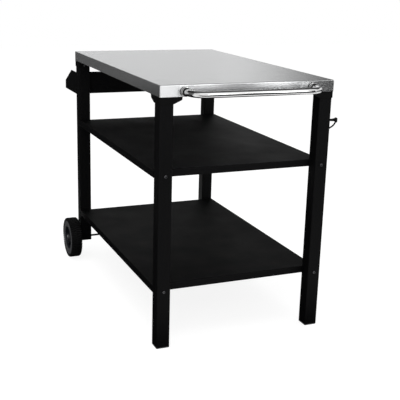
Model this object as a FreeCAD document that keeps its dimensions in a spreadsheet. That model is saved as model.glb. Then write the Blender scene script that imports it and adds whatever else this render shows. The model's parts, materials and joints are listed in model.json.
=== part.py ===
"""Outdoor pizza oven table: a worktop on four legs, two shelves, two wheels, a tray and a handle.

Millimetres, +Z up. The table is modelled about its own middle on the floor, with the handle towards
+X, the wheels and the condiment tray towards -X, and the user's left towards -Y. Every body is then
moved along X by table_shift, so that the origin is the bottom centre of the whole part's box.
"""
import FreeCAD, Part
import math
import os
import Sketcher

SIZES = {
    # worktop
    "table_length": 980,
    "table_width": 595,
    "table_height": 850,
    "skirt_height": 36,
    "top_sheet": 1.2,
    "top_bend": 3,
    "top_lip": 26,
    "stiffener_offset": 150,
    "stiffener_width": 50,
    "stiffener_depth": 22,
    "stiffener_flange": 15,
    "stiffener_sheet": 1.5,
    "stiffener_end_gap": 8,
    # legs
    "leg_size": 45,
    "leg_wall": 1.5,
    "leg_corner": 3.5,
    "leg_inset_end": 4.5,
    "leg_inset_side": 2,
    "foot_thickness": 5,
    "leg_cap_thickness": 3,
    "axle_edge": 12,
    "foot_chamfer": 1.5,
    "plug_length": 22,
    "plug_wall": 2.5,
    "plug_gap": 0.2,
    # brackets under the worktop
    "bracket_plate": 3,
    "bracket_skin": 2,
    "bracket_overhang": 0.5,
    "bracket_reach": 27,
    "bracket_depth": 22,
    "bracket_tip": 10,
    "bracket_tip_round": 5,
    "leg_screw_drop": 14,
    # shelves
    "mid_shelf_height": 581,
    "low_shelf_height": 204,
    "shelf_skirt": 23,
    "shelf_sheet": 1.2,
    "shelf_bend": 2.5,
    "shelf_lip": 12,
    "shelf_bolt_drop": 10,
    "shelf_stiffener_width": 40,
    "shelf_stiffener_depth": 15,
    # wheels
    "wheel_diameter": 164,
    "wheel_width": 43,
    "wheel_gap": 9,
    "tread_depth": 3,
    "tread_groove": 3.5,
    "tread_centre_rib": 3,
    "tread_grooves": 56,
    "tyre_bead_diameter": 98,
    "tyre_bulge": 2.5,
    "rim_wall": 3.5,
    "rim_edge_inset": 2.5,
    "rim_web": 4,
    "rim_web_inset": 18,
    "rim_spokes": 6,
    "rim_spoke_width": 6,
    "hub_diameter": 28,
    "hub_inset": 13,
    "cap_wall": 1.5,
    "cap_overlap": 4,
    "cap_inset": 1,
    "cap_round": 4,
    "cap_gap": 0.5,
    "axle_diameter": 8,
    "axle_fit": 0.06,
    "wheel_end_play": 0.4,
    "axle_washer_diameter": 18,
    "axle_washer": 1.5,
    "axle_nut_width": 13,
    "axle_nut_height": 6.5,
    "axle_tail": 1.2,
    "spacer_diameter": 15,
    # condiment tray
    "tray_drop": 44,
    "tray_height": 87,
    "tray_depth": 175.5,
    "tray_level": 75,
    "tray_front": 33,
    "tray_sheet": 1.2,
    "tray_screw_inset": 20,
    # handle
    "handle_drop": 21,
    "handle_inset": 80,
    "handle_reach": 74,
    "handle_tube": 20,
    "handle_bend": 44,
    "boss_diameter": 30,
    "boss_height": 12,
    "boss_round": 2.5,
    # tool hook
    "hook_drop": 89,
    "hook_plate_height": 43,
    "hook_plate_width": 22,
    "hook_sheet": 2,
    "hook_reach": 38,
    "hook_arm_depth": 5,
    "hook_tip": 6,
    "hook_tip_rise": 4,
    "hook_tip_drop": 5,
    "hook_arm_width": 10,
    "hook_wire": 3,
    "hook_screw_inset": 15,
    # fasteners
    "bolt_diameter": 6,
    "bolt_hole": 6.6,
    "bolt_head_diameter": 11,
    "bolt_head_height": 3.3,
    "nut_width": 10,
    "nut_height": 5,
    "bolt_tail": 2,
    "screw_diameter": 4.8,
    "screw_hole": 5,
    "screw_head_diameter": 9,
    "screw_head_height": 2.6,
    "screw_tail": 6,
    "handle_screw_depth": 14,
    # clearance between round pieces that are pushed together
    "fit": 0.15,
}

doc = FreeCAD.newDocument("pizza_oven_table")
sheet = doc.addObject("Spreadsheet::Sheet", "Sizes")
for row, (size_name, size_value) in enumerate(SIZES.items(), start=1):
    sheet.set(f"A{row}", size_name)
    sheet.set(f"B{row}", str(size_value))
    sheet.setAlias(f"B{row}", size_name)
doc.recompute()


class Size:
    """A length with the formula that keeps it tied to the sheet, and its present value."""

    def __init__(self, value, formula):
        self.value = float(value)
        self.formula = formula

    def __add__(self, other):
        other = as_size(other)
        return Size(self.value + other.value, f"({self.formula} + {other.formula})")

    def __radd__(self, other):
        return as_size(other) + self

    def __sub__(self, other):
        other = as_size(other)
        return Size(self.value - other.value, f"({self.formula} - {other.formula})")

    def __rsub__(self, other):
        return as_size(other) - self

    def __mul__(self, number):
        return Size(self.value * number, f"({self.formula} * {number:.9f})")

    __rmul__ = __mul__

    def __truediv__(self, number):
        return Size(self.value / number, f"({self.formula} / {number:.9f})")

    def __neg__(self):
        return Size(-self.value, f"(0 - {self.formula})")


def as_size(value):
    """A Size from a Size or from a plain number."""
    if isinstance(value, Size):
        return value
    return Size(value, f"({float(value):.9f})")


class Sheet:
    """Reads each named size of the sheet as an attribute."""

    def __getattr__(self, name):
        return Size(SIZES[name], f"Sizes.{name}")


d = Sheet()
ZERO = as_size(0)

# Places that several pieces share
leg_x = d.table_length / 2 - d.leg_inset_end - d.leg_size / 2
leg_y = d.table_width / 2 - d.leg_inset_side - d.leg_size / 2
leg_half = d.leg_size / 2
leg_inner = d.leg_size / 2 - d.leg_wall
skirt_bottom = d.table_height - d.skirt_height
leg_top = skirt_bottom - d.bracket_plate
frame_half_width = leg_y + leg_half
mid_bolt_height = d.mid_shelf_height - d.shelf_bolt_drop
low_bolt_height = d.low_shelf_height - d.shelf_bolt_drop
shelf_half_length = leg_x - leg_half
wheel_radius = d.wheel_diameter / 2
wheel_y = frame_half_width + d.wheel_gap + d.wheel_width / 2
axle_radius = d.axle_diameter / 2
bolt_radius = d.bolt_diameter / 2
bolt_hole_radius = d.bolt_hole / 2
screw_radius = d.screw_diameter / 2
screw_hole_radius = d.screw_hole / 2
lip_middle_x = d.table_length / 2 - d.top_sheet - d.top_lip / 2
lip_middle_y = d.table_width / 2 - d.top_sheet - d.top_lip / 2
ear_screw = leg_half + d.bracket_reach / 2
short_leg_lift = wheel_radius - d.axle_edge
handle_height = d.table_height - d.handle_drop
handle_half = d.table_width / 2 - d.handle_inset
tray_top = leg_top - d.tray_drop
tray_bottom = tray_top - d.tray_height
tray_back_x = leg_x + leg_half
tray_screw_heights = (tray_top - d.tray_screw_inset, tray_bottom + d.tray_screw_inset)
hook_top = leg_top - d.hook_drop
hook_bottom = hook_top - d.hook_plate_height
hook_screw_heights = (hook_top - d.hook_screw_inset, hook_bottom + d.hook_screw_inset)
table_shift = (d.tray_depth - d.leg_inset_end - d.handle_reach - d.handle_tube / 2) / 2


# Building blocks


def bind(item, prop, size):
    """Ties one property of an object to its formula."""
    item.setExpression(prop, size.formula)


def place(item, x=ZERO, y=ZERO, z=ZERO, turn=0):
    """Puts a finished piece in the row's frame, turned about +Z by turn degrees."""
    item.Placement = FreeCAD.Placement(FreeCAD.Vector(0, 0, 0), FreeCAD.Rotation(FreeCAD.Vector(0, 0, 1), turn))
    bind(item, "Placement.Base.x", x + table_shift)
    bind(item, "Placement.Base.y", as_size(y))
    bind(item, "Placement.Base.z", as_size(z))


def new_body(label):
    body = doc.addObject("PartDesign::Body", label)
    body.Label = label
    return body


def datum(body, role):
    """One of the body's own origin planes or axes."""
    return [item for item in body.Origin.OriginFeatures if item.Role == role][0]


def new_sketch(body, plane, x=ZERO, y=ZERO, z=ZERO):
    """A sketch on an origin plane, moved to a point given in the body's own X, Y and Z."""
    sketch = body.newObject("Sketcher::SketchObject", "outline")
    sketch.AttachmentSupport = [(datum(body, f"{plane}_Plane"), "")]
    sketch.MapMode = "FlatFace"
    local = {"XY": (x, y, z), "XZ": (x, z, -as_size(y)), "YZ": (y, z, x)}[plane]
    for axis, size in zip("xyz", local):
        bind(sketch, f"AttachmentOffset.Base.{axis}", as_size(size))
    return sketch


def hold(sketch, kind, geometry, point, size):
    """Holds a point of a sketch at one distance from the sketch's origin."""
    index = sketch.addConstraint(Sketcher.Constraint(kind, -1, 1, geometry, point, size.value))
    bind(sketch, f"Constraints[{index}]", size)


def hold_point(sketch, geometry, point, x, y):
    hold(sketch, "DistanceX", geometry, point, x)
    hold(sketch, "DistanceY", geometry, point, y)


def polygon(sketch, points):
    """A closed run of straight edges through the points."""
    points = [(as_size(x), as_size(y)) for x, y in points]
    first = sketch.GeometryCount
    count = len(points)
    for index, (x, y) in enumerate(points):
        next_x, next_y = points[(index + 1) % count]
        start = FreeCAD.Vector(x.value, y.value, 0)
        sketch.addGeometry(Part.LineSegment(start, FreeCAD.Vector(next_x.value, next_y.value, 0)))
    for index in range(count):
        following = first + (index + 1) % count
        sketch.addConstraint(Sketcher.Constraint("Coincident", first + index, 2, following, 1))
    for index, (x, y) in enumerate(points):
        hold_point(sketch, first + index, 1, x, y)


def rectangle(sketch, half_x, half_y):
    """A rectangle centred on the sketch's origin."""
    polygon(sketch, [(-half_x, -half_y), (half_x, -half_y), (half_x, half_y), (-half_x, half_y)])


def circle(sketch, radius, x=ZERO, y=ZERO):
    x = as_size(x)
    y = as_size(y)
    index = sketch.addGeometry(
        Part.Circle(FreeCAD.Vector(x.value, y.value, 0), FreeCAD.Vector(0, 0, 1), radius.value))
    hold_point(sketch, index, 3, x, y)
    constraint = sketch.addConstraint(Sketcher.Constraint("Radius", index, radius.value))
    bind(sketch, f"Constraints[{constraint}]", radius)


def hexagon(sketch, across_flats, x=ZERO, y=ZERO):
    corner = across_flats / 2 / math.cos(math.radians(30))
    turns = [math.radians(60 * step + 30) for step in range(6)]
    polygon(sketch, [(x + corner * math.cos(turn), y + corner * math.sin(turn)) for turn in turns])


def extrude(body, kind, sketch, length, both_ways=False, backwards=False):
    """Pads or pockets a sketch by a length, to one side or half to each side."""
    feature = body.newObject(f"PartDesign::{kind}", kind.lower())
    feature.Profile = sketch
    feature.SideType = "Symmetric" if both_ways else "One side"
    feature.Reversed = backwards
    bind(feature, "Length", as_size(length))
    return feature


def pad(body, sketch, length, **options):
    return extrude(body, "Pad", sketch, length, **options)


def pocket(body, sketch, length, **options):
    """A pocket that must take material away."""
    doc.recompute()
    before = body.Shape.Volume
    feature = extrude(body, "Pocket", sketch, length, **options)
    doc.recompute()
    if body.Shape.Volume >= before:
        raise ValueError(f"a pocket in {body.Label} cuts nothing")
    return feature


def revolve(body, kind, sketch, axis):
    feature = body.newObject(f"PartDesign::{kind}", kind.lower())
    feature.Profile = sketch
    feature.ReferenceAxis = (sketch, [axis])
    feature.Angle = 360
    return feature


def edges_where(body, test):
    """Names of the body's edges that pass a test, which gets each edge's middle and direction."""
    doc.recompute()
    names = []
    for index, edge in enumerate(body.Shape.Edges, start=1):
        if edge.Degenerated or edge.Curve.TypeId != "Part::GeomLine":
            continue
        start = edge.Vertexes[0].Point
        end = edge.Vertexes[-1].Point
        if test((start + end) / 2, (end - start).normalize()):
            names.append(f"Edge{index}")
    return names


def dress(body, kind, names, prop, size):
    """Rounds or bevels the named edges of the body as it stands."""
    base = body.Tip
    feature = body.newObject(f"PartDesign::{kind}", kind.lower())
    feature.Base = (base, names)
    bind(feature, prop, as_size(size))
    doc.recompute()
    return feature


def round_edges(body, radius, test):
    return dress(body, "Fillet", edges_where(body, test), "Radius", radius)


def hollow(body, opening, wall):
    """Leaves a wall of even thickness inside the body, open at the faces that pass a test, which gets
    each face's middle and normal."""
    names = []
    for index, face in enumerate(body.Shape.Faces, start=1):
        if face.Surface.TypeId == "Part::GeomPlane" and opening(face.CenterOfMass, face.normalAt(0, 0)):
            names.append(f"Face{index}")
    base = body.Tip
    feature = body.newObject("PartDesign::Thickness", "thickness")
    feature.Base = (base, names)
    feature.Reversed = True
    bind(feature, "Value", wall)
    doc.recompute()


def close_to(value, size):
    return abs(value - as_size(size).value) < 0.01


def upright(middle, direction):
    return abs(direction.z) > 0.99


def pattern(body, originals, steps):
    """Repeats features: each step is a mirror plane's name, or a row (axis, length, count)."""
    doc.recompute()
    group = body.newObject("PartDesign::MultiTransform", "repeats")
    group.Originals = originals
    transforms = []
    for step in steps:
        if isinstance(step, str):
            transform = body.newObject("PartDesign::Mirrored", "mirror")
            transform.MirrorPlane = (datum(body, f"{step}_Plane"), [""])
        else:
            axis, length, count = step
            transform = body.newObject("PartDesign::LinearPattern", "row")
            transform.Direction = (datum(body, f"{axis}_Axis"), [""])
            bind(transform, "Length", length)
            transform.Occurrences = count
        transforms.append(transform)
    group.Transformations = transforms
    body.Tip = group
    doc.recompute()
    return group


def ring_pattern(body, feature, axis, count):
    """Repeats a feature round an axis of the body."""
    doc.recompute()
    ring = body.newObject("PartDesign::PolarPattern", "ring")
    ring.Originals = [feature]
    ring.Axis = (datum(body, f"{axis}_Axis"), [""])
    ring.Angle = 360
    bind(ring, "Occurrences", count)
    body.Tip = ring
    doc.recompute()
    return ring


def headed_screw(body, plane, x, y, z, radius, length, head_radius, head_height):
    """A button-headed screw turned about the sketch's first axis: the shank runs to the minus side of
    the point, and the head stands on the plus side."""
    sketch = new_sketch(body, plane, x, y, z)
    polygon(sketch, [
        (-length, ZERO), (-length, radius), (ZERO, radius), (ZERO, head_radius),
        (head_height * 0.4, head_radius), (head_height * 0.8, head_radius * 0.76),
        (head_height, head_radius * 0.45), (head_height, ZERO)])
    return revolve(body, "Revolution", sketch, "H_Axis")


# Worktop


def folded_tray(label, half_length, half_width, top, depth, sheet_thickness, bend):
    """A sheet folded down on all four sides: a rounded block, hollowed from below."""
    body = new_body(label)
    outline = new_sketch(body, "XY", z=top - depth)
    rectangle(outline, half_length, half_width)
    pad(body, outline, depth)
    round_edges(body, bend, lambda middle, way: upright(middle, way) or close_to(middle.z, top))
    hollow(body, lambda middle, normal: normal.z < -0.99, sheet_thickness)
    return body


def make_tabletop():
    """Stainless worktop: skirts on all sides and a lip turned in below, which the brackets hold."""
    body = folded_tray("tabletop", d.table_length / 2, d.table_width / 2, d.table_height,
                       d.skirt_height, d.top_sheet, d.top_bend)
    lip = new_sketch(body, "XY", z=skirt_bottom)
    inner_x = d.table_length / 2 - d.top_sheet
    inner_y = d.table_width / 2 - d.top_sheet
    rectangle(lip, inner_x, inner_y)
    rectangle(lip, inner_x - d.top_lip, inner_y - d.top_lip)
    pad(body, lip, d.top_sheet)
    for x, y in bracket_screw_places():
        hole = new_sketch(body, "XY", x=x, y=y, z=skirt_bottom)
        circle(hole, bolt_hole_radius)
        cut = pocket(body, hole, d.top_sheet, backwards=True)
        pattern(body, [cut], ["YZ", "XZ"])
    handle_hole = new_sketch(body, "YZ", x=d.table_length / 2, y=handle_half, z=handle_height)
    circle(handle_hole, bolt_hole_radius)
    pattern(body, [pocket(body, handle_hole, d.top_sheet)], ["XZ"])
    place(body)
    return body


def bracket_screw_places():
    """The two bracket screws of the +X, +Y corner, one in each ear."""
    return [(leg_x - ear_screw, lip_middle_y), (lip_middle_x, leg_y - ear_screw)]


def make_stiffener(label, y, top, half_length, width, depth):
    """A hat-shaped channel, open upwards, whose flanges lie against the sheet above."""
    body = new_body(label)
    sketch = new_sketch(body, "YZ", y=y, z=top)
    outer = width / 2
    inner = outer - d.stiffener_sheet
    reach = outer + d.stiffener_flange
    under = -d.stiffener_sheet
    polygon(sketch, [
        (-reach, ZERO), (-inner, ZERO), (-inner, d.stiffener_sheet - depth), (inner, d.stiffener_sheet - depth),
        (inner, ZERO), (reach, ZERO), (reach, under), (outer, under), (outer, -depth), (-outer, -depth),
        (-outer, under), (-reach, under)])
    pad(body, sketch, half_length * 2, both_ways=True)
    place(body)
    return body


def make_top_stiffeners():
    half_length = d.table_length / 2 - d.top_sheet - d.top_lip - d.stiffener_end_gap
    top = d.table_height - d.top_sheet
    return [make_stiffener(f"top_stiffener_{side}", sign * d.stiffener_offset, top, half_length,
                           d.stiffener_width, d.stiffener_depth) for side, sign in (("left", -1), ("right", 1))]


# Legs and what closes and holds their ends

# Each leg: name, side along X, side along Y. The front pair stands on the floor.
LEGS = (("front_left", 1, -1), ("front_right", 1, 1), ("rear_left", -1, -1), ("rear_right", -1, 1))


def rounded_square(body, half, height, radius, z=ZERO, backwards=False):
    """A square bar about the leg's axis with rounded corners."""
    outline = new_sketch(body, "XY", z=z)
    rectangle(outline, half, half)
    pad(body, outline, height, backwards=backwards)
    round_edges(body, radius, lambda middle, way: upright(middle, way) and close_to(abs(middle.x), half))


def square_bore(body, half, height, radius, z=ZERO, backwards=True):
    """Hollows a square bar, leaving rounded inner corners."""
    outline = new_sketch(body, "XY", z=z)
    rectangle(outline, half, half)
    pocket(body, outline, height, backwards=backwards)
    round_edges(body, radius, lambda middle, way: upright(middle, way) and close_to(abs(middle.x), half)
                and close_to(abs(middle.y), half))


def drill(body, plane, radius, length, x=ZERO, y=ZERO, z=ZERO, **options):
    hole = new_sketch(body, plane, x=x, y=y, z=z)
    circle(hole, radius)
    return pocket(body, hole, length, **options)


def make_leg(name, along, side):
    """Square tube. The rear pair is short and carries the axle and the tray."""
    body = new_body(f"{name}_leg")
    bottom = d.foot_thickness if along > 0 else short_leg_lift + d.leg_cap_thickness
    rounded_square(body, leg_half, leg_top - bottom, d.leg_corner, z=bottom)
    square_bore(body, leg_inner, leg_top - bottom, d.leg_corner - d.leg_wall, z=bottom)
    for height in (mid_bolt_height, low_bolt_height):
        drill(body, "YZ", bolt_hole_radius, d.leg_size, z=height, both_ways=True)
    drill(body, "YZ", screw_hole_radius, leg_half, z=leg_top - d.leg_screw_drop, backwards=along < 0)
    if along < 0:
        drill(body, "XZ", axle_radius + d.fit, d.leg_size, z=wheel_radius, both_ways=True)
        for height in tray_screw_heights:
            drill(body, "YZ", screw_hole_radius, leg_half, z=height)
    if name == "front_right":
        for height in hook_screw_heights:
            drill(body, "XZ", screw_hole_radius, leg_half, z=height)
    place(body, x=along * leg_x, y=side * leg_y)
    return body


def make_foot(name, along, side):
    """Cap in a leg's lower end: a floor plate and a hollow plug inside the tube. On a short leg the
    plug is bored for the axle."""
    body = new_body(f"{name}_{'foot' if along > 0 else 'leg_cap'}")
    plug = leg_inner - d.plug_gap
    thickness = d.foot_thickness if along > 0 else d.leg_cap_thickness
    rounded_square(body, leg_half, thickness, d.leg_corner)
    base_edges = edges_where(body, lambda middle, way: close_to(middle.z, ZERO))
    dress(body, "Chamfer", base_edges, "Size", d.foot_chamfer)
    outline = new_sketch(body, "XY", z=thickness)
    rectangle(outline, plug, plug)
    rectangle(outline, plug - d.plug_wall, plug - d.plug_wall)
    pad(body, outline, d.plug_length)
    round_edges(body, d.leg_corner - d.leg_wall + d.plug_gap,
                lambda middle, way: upright(middle, way) and close_to(abs(middle.x), plug))
    if along < 0:
        drill(body, "XZ", axle_radius + d.fit, d.leg_size, z=d.axle_edge, both_ways=True)
    place(body, x=along * leg_x, y=side * leg_y, z=ZERO if along > 0 else short_leg_lift)
    return body


def make_bracket(name, along, side):
    """Flared bracket: a plate under the worktop's lip, two cheeks that cover the leg's outer faces and
    sweep inwards as ears, and a hollow plug inside the tube. It is drawn for the rear left leg, with
    its ears along +X and +Y, and turned for the others."""
    body = new_body(f"{name}_bracket")
    face = leg_half + d.bracket_skin
    rim = face + d.bracket_overhang
    ear = leg_half + d.bracket_reach
    under = -d.bracket_plate
    plug = leg_inner - d.plug_gap
    rounded_square(body, plug, d.plug_length, d.leg_corner - d.leg_wall + d.plug_gap, z=under - d.plug_length)
    square_bore(body, plug - d.plug_wall, d.plug_length, d.plug_gap, z=under - d.plug_length)
    plate = new_sketch(body, "XY")
    polygon(plate, [(-rim, -rim), (ear, -rim), (ear, leg_half / 4), (leg_half * 1.2, leg_half * 1.2),
                    (leg_half / 4, ear), (-rim, ear)])
    pad(body, plate, d.bracket_plate, backwards=True)
    tip = ear - d.bracket_overhang
    cheek = [(-face, under), (tip, under), (tip, -d.bracket_tip), (leg_half, -d.bracket_depth),
             (-face, -d.bracket_depth)]
    front = new_sketch(body, "XZ", y=-leg_half)
    polygon(front, cheek)
    pad(body, front, d.bracket_skin)
    end = new_sketch(body, "YZ", x=-leg_half)
    polygon(end, cheek)
    pad(body, end, d.bracket_skin, backwards=True)

    def ear_tip(middle, way):
        low = close_to(middle.z, -d.bracket_tip)
        return low and (close_to(middle.x, tip) or close_to(middle.y, tip))

    round_edges(body, d.bracket_tip_round, ear_tip)
    for corner, radius in ((-face, d.leg_corner), (-rim, d.leg_corner + d.bracket_overhang)):
        round_edges(body, radius, lambda middle, way: upright(middle, way) and close_to(middle.x, corner)
                    and close_to(middle.y, corner))
    turned = along * side < 0
    out_x = lip_middle_x - leg_x
    out_y = lip_middle_y - leg_y
    if turned:
        out_x, out_y = out_y, out_x
    for x, y in ((ear_screw, -out_y), (-out_x, ear_screw)):
        drill(body, "XY", bolt_hole_radius, d.bracket_plate, x=x, y=y)
    drill(body, "XZ" if turned else "YZ", screw_radius, leg_half, z=under - d.leg_screw_drop, backwards=not turned)
    turn = {(-1, -1): 0, (1, -1): 90, (1, 1): 180, (-1, 1): 270}[(along, side)]
    place(body, x=along * leg_x, y=side * leg_y, z=skirt_bottom, turn=turn)
    return body


# Shelves


def make_shelf(label, top):
    """Folded sheet between the legs' inner faces, as wide as the frame, with lips along its sides."""
    body = folded_tray(label, shelf_half_length, frame_half_width, top, d.shelf_skirt, d.shelf_sheet,
                       d.shelf_bend)
    lip = new_sketch(body, "XY", y=frame_half_width - d.shelf_sheet - d.shelf_lip / 2, z=top - d.shelf_skirt)
    rectangle(lip, shelf_half_length - d.shelf_sheet, d.shelf_lip / 2)
    pattern(body, [pad(body, lip, d.shelf_sheet)], ["XZ"])
    hole = drill(body, "YZ", bolt_hole_radius, d.shelf_sheet, x=shelf_half_length, y=leg_y,
                 z=top - d.shelf_bolt_drop)
    pattern(body, [hole], ["YZ", "XZ"])
    place(body)
    return body


def make_shelves():
    pieces = []
    half_length = shelf_half_length - d.shelf_sheet - d.stiffener_end_gap
    for label, top in (("mid_shelf", d.mid_shelf_height), ("lower_shelf", d.low_shelf_height)):
        pieces.append(make_shelf(label, top))
        pieces.append(make_stiffener(f"{label}_stiffener", ZERO, top - d.shelf_sheet, half_length,
                                     d.shelf_stiffener_width, d.shelf_stiffener_depth))
    return pieces


# Wheels and axle

WHEELS = (("left", 0, -1), ("right", 180, 1))


def make_tyre(name, turn, side):
    """Rubber tyre with a bulged sidewall and two staggered rows of tread blocks. It is drawn about the
    Y axis for the left wheel."""
    body = new_body(f"{name}_tyre")
    half = d.wheel_width / 2
    bead = d.tyre_bead_diameter / 2
    shoulder = wheel_radius - d.tread_depth * 2
    section = new_sketch(body, "XY")
    polygon(section, [
        (bead, -half + d.tyre_bulge), (bead + d.tyre_bulge * 2, -half + d.tyre_bulge * 0.2),
        (shoulder - d.tread_depth, -half), (shoulder, -half), (wheel_radius - d.tread_depth / 3, -half + d.tread_depth),
        (wheel_radius, -half + d.tread_depth * 2), (wheel_radius, half - d.tread_depth * 2),
        (wheel_radius - d.tread_depth / 3, half - d.tread_depth), (shoulder, half),
        (shoulder - d.tread_depth, half), (bead + d.tyre_bulge * 2, half - d.tyre_bulge * 0.2),
        (bead, half - d.tyre_bulge)])
    revolve(body, "Revolution", section, "V_Axis")
    step = 180 / SIZES["tread_grooves"]
    groove_length = half - d.tread_centre_rib / 2
    groove_middle = d.tread_centre_rib / 2 + groove_length / 2
    for row, turn_row in ((-1, 0), (1, step)):
        groove = new_sketch(body, "XY")
        groove.AttachmentOffset = FreeCAD.Placement(
            FreeCAD.Vector(0, 0, 0), FreeCAD.Rotation(FreeCAD.Vector(0, 1, 0), turn_row))
        inner = wheel_radius - d.tread_depth
        outer = wheel_radius + d.tread_depth
        near = row * (groove_middle - groove_length / 2)
        far = row * (groove_middle + groove_length / 2 + d.tread_depth)
        low, high = (far, near) if row < 0 else (near, far)
        polygon(groove, [(inner, low), (outer, low), (outer, high), (inner, high)])
        cut = pocket(body, groove, d.tread_groove, both_ways=True)
        ring_pattern(body, cut, "Y", d.tread_grooves)
    place(body, x=-leg_x, y=side * wheel_y, z=wheel_radius, turn=turn)
    return body


def make_rim(name, turn, side):
    """Moulded rim: barrel, web, spokes and hub. Its outer side is -Y, as for the left wheel."""
    body = new_body(f"{name}_rim")
    half = d.wheel_width / 2
    barrel = d.tyre_bead_diameter / 2 - d.fit
    barrel_inner = barrel - d.rim_wall
    hub = d.hub_diameter / 2
    bore = axle_radius + d.axle_fit
    edge = half - d.rim_edge_inset
    web_outer = -half + d.rim_web_inset
    web_inner = web_outer + d.rim_web
    hub_outer = -half + d.hub_inset
    section = new_sketch(body, "XY")
    polygon(section, [
        (bore, hub_outer), (hub, hub_outer), (hub, web_outer), (barrel_inner, web_outer),
        (barrel_inner + d.rim_wall / 2, -edge), (barrel, -edge), (barrel, edge), (barrel_inner, edge),
        (barrel_inner, web_inner), (hub, web_inner), (hub, half), (bore, half)])
    revolve(body, "Revolution", section, "V_Axis")
    spoke = new_sketch(body, "XY")
    spoke_start = hub + d.fit + d.cap_wall + d.cap_gap
    root = web_outer + d.rim_web / 2
    spoke_end = barrel_inner + d.rim_wall / 2
    polygon(spoke, [(spoke_start, root), (spoke_start, hub_outer), (spoke_end, -half + d.rim_spoke_width),
                    (spoke_end, root)])
    rib = pad(body, spoke, d.rim_spoke_width, both_ways=True)
    ring_pattern(body, rib, "Y", d.rim_spokes)
    place(body, x=-leg_x, y=side * wheel_y, z=wheel_radius, turn=turn)
    return body


def make_hub_cap(name, turn, side):
    """Round cap pushed over the hub's outer end, which hides the axle's nut."""
    body = new_body(f"{name}_hub_cap")
    half = d.wheel_width / 2
    hub = d.hub_diameter / 2
    outside = hub + d.fit + d.cap_wall
    face = -half + d.cap_inset
    skirt_end = -half + d.hub_inset + d.cap_overlap
    section = new_sketch(body, "XY")
    polygon(section, [
        (ZERO, face), (outside - d.cap_round, face), (outside - d.cap_round * 0.3, face + d.cap_round * 0.3),
        (outside, face + d.cap_round), (outside, skirt_end), (hub + d.fit, skirt_end),
        (hub + d.fit, face + d.cap_wall + d.cap_round), (outside - d.cap_round, face + d.cap_wall),
        (ZERO, face + d.cap_wall)])
    revolve(body, "Revolution", section, "V_Axis")
    place(body, x=-leg_x, y=side * wheel_y, z=wheel_radius, turn=turn)
    return body


def make_axle():
    """Rod through both short legs and both hubs."""
    body = new_body("axle")
    half_length = axle_end()
    outline = new_sketch(body, "XZ", x=-leg_x, z=wheel_radius)
    circle(outline, axle_radius)
    pad(body, outline, half_length * 2, both_ways=True)
    place(body)
    return body


def hub_end():
    """Where the washer stands off the hub's outer end, measured from the table's middle."""
    return wheel_y + d.wheel_width / 2 - d.hub_inset + d.wheel_end_play


def axle_end():
    return hub_end() + d.axle_washer + d.axle_nut_height + d.axle_tail


def tube_pair(label, inner_radius, outer_radius, near, far):
    """Two rings on the axle, one at each end, between two distances from the middle."""
    body = new_body(label)
    outline = new_sketch(body, "XZ", x=-leg_x, y=near, z=wheel_radius)
    circle(outline, outer_radius)
    circle(outline, inner_radius)
    ring = pad(body, outline, far - near, backwards=True)
    pattern(body, [ring], ["XZ"])
    place(body)
    return body


def make_axle_nuts():
    body = new_body("axle_nuts")
    near = hub_end() + d.axle_washer
    outline = new_sketch(body, "XZ", x=-leg_x, y=near, z=wheel_radius)
    hexagon(outline, d.axle_nut_width)
    circle(outline, axle_radius + d.fit)
    nut = pad(body, outline, d.axle_nut_height, backwards=True)
    pattern(body, [nut], ["XZ"])
    place(body)
    return body


def make_axle_fittings():
    bore = axle_radius + d.fit
    spacers = tube_pair("axle_spacers", bore, d.spacer_diameter / 2, frame_half_width,
                        wheel_y - d.wheel_width / 2 - d.wheel_end_play)
    washers = tube_pair("axle_washers", bore, d.axle_washer_diameter / 2, hub_end(), hub_end() + d.axle_washer)
    return [spacers, washers, make_axle_nuts()]


# Condiment tray


def tray_outline():
    """The tray's end seen along the table: a level top, then a slope down to the low front."""
    front = -(tray_back_x + d.tray_depth)
    back = -tray_back_x
    return [(back, tray_bottom), (back, tray_top), (back - d.tray_level, tray_top),
            (front, tray_bottom + d.tray_front), (front, tray_bottom)]


def make_tray():
    """Tray on the short legs: a sheet folded to a tall back, a floor and a low front, and two end
    panels welded across its ends."""
    pan = new_body("condiment_tray")
    back_bottom, back_top, _, front_top, front_bottom = tray_outline()
    profile = new_sketch(pan, "XZ")
    sheet_size = d.tray_sheet
    polygon(profile, [
        back_bottom, back_top, (back_top[0] - sheet_size, tray_top),
        (back_top[0] - sheet_size, tray_bottom + sheet_size), (front_top[0] + sheet_size, tray_bottom + sheet_size),
        (front_top[0] + sheet_size, front_top[1]), front_top, front_bottom])
    pad(pan, profile, (frame_half_width - sheet_size) * 2, both_ways=True)
    for height in tray_screw_heights:
        hole = drill(pan, "YZ", screw_hole_radius, sheet_size, x=back_top[0], y=leg_y, z=height)
        pattern(pan, [hole], ["XZ"])
    place(pan)
    return [pan, make_tray_end("left", -1), make_tray_end("right", 1)]


def make_tray_end(name, side):
    body = new_body(f"{name}_tray_end")
    face = new_sketch(body, "XZ", y=side * frame_half_width)
    polygon(face, tray_outline())
    pad(body, face, d.tray_sheet, backwards=side < 0)
    place(body)
    return body


def make_tray_screws():
    """Screws through the tray's back into the short legs."""
    body = new_body("tray_screws")
    screw = headed_screw(body, "XZ", tray_back_x + d.tray_sheet, leg_y, tray_screw_heights[1], screw_radius,
                         d.tray_sheet + d.leg_wall + d.screw_tail, d.screw_head_diameter / 2, d.screw_head_height)
    row = ("Z", tray_screw_heights[0] - tray_screw_heights[1], 2)
    pattern(body, [screw], ["XZ", row])
    body.Placement = FreeCAD.Placement(FreeCAD.Vector(0, 0, 0), FreeCAD.Rotation(FreeCAD.Vector(0, 0, 1), 180))
    place(body, turn=180)
    return body


# Handle


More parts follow.
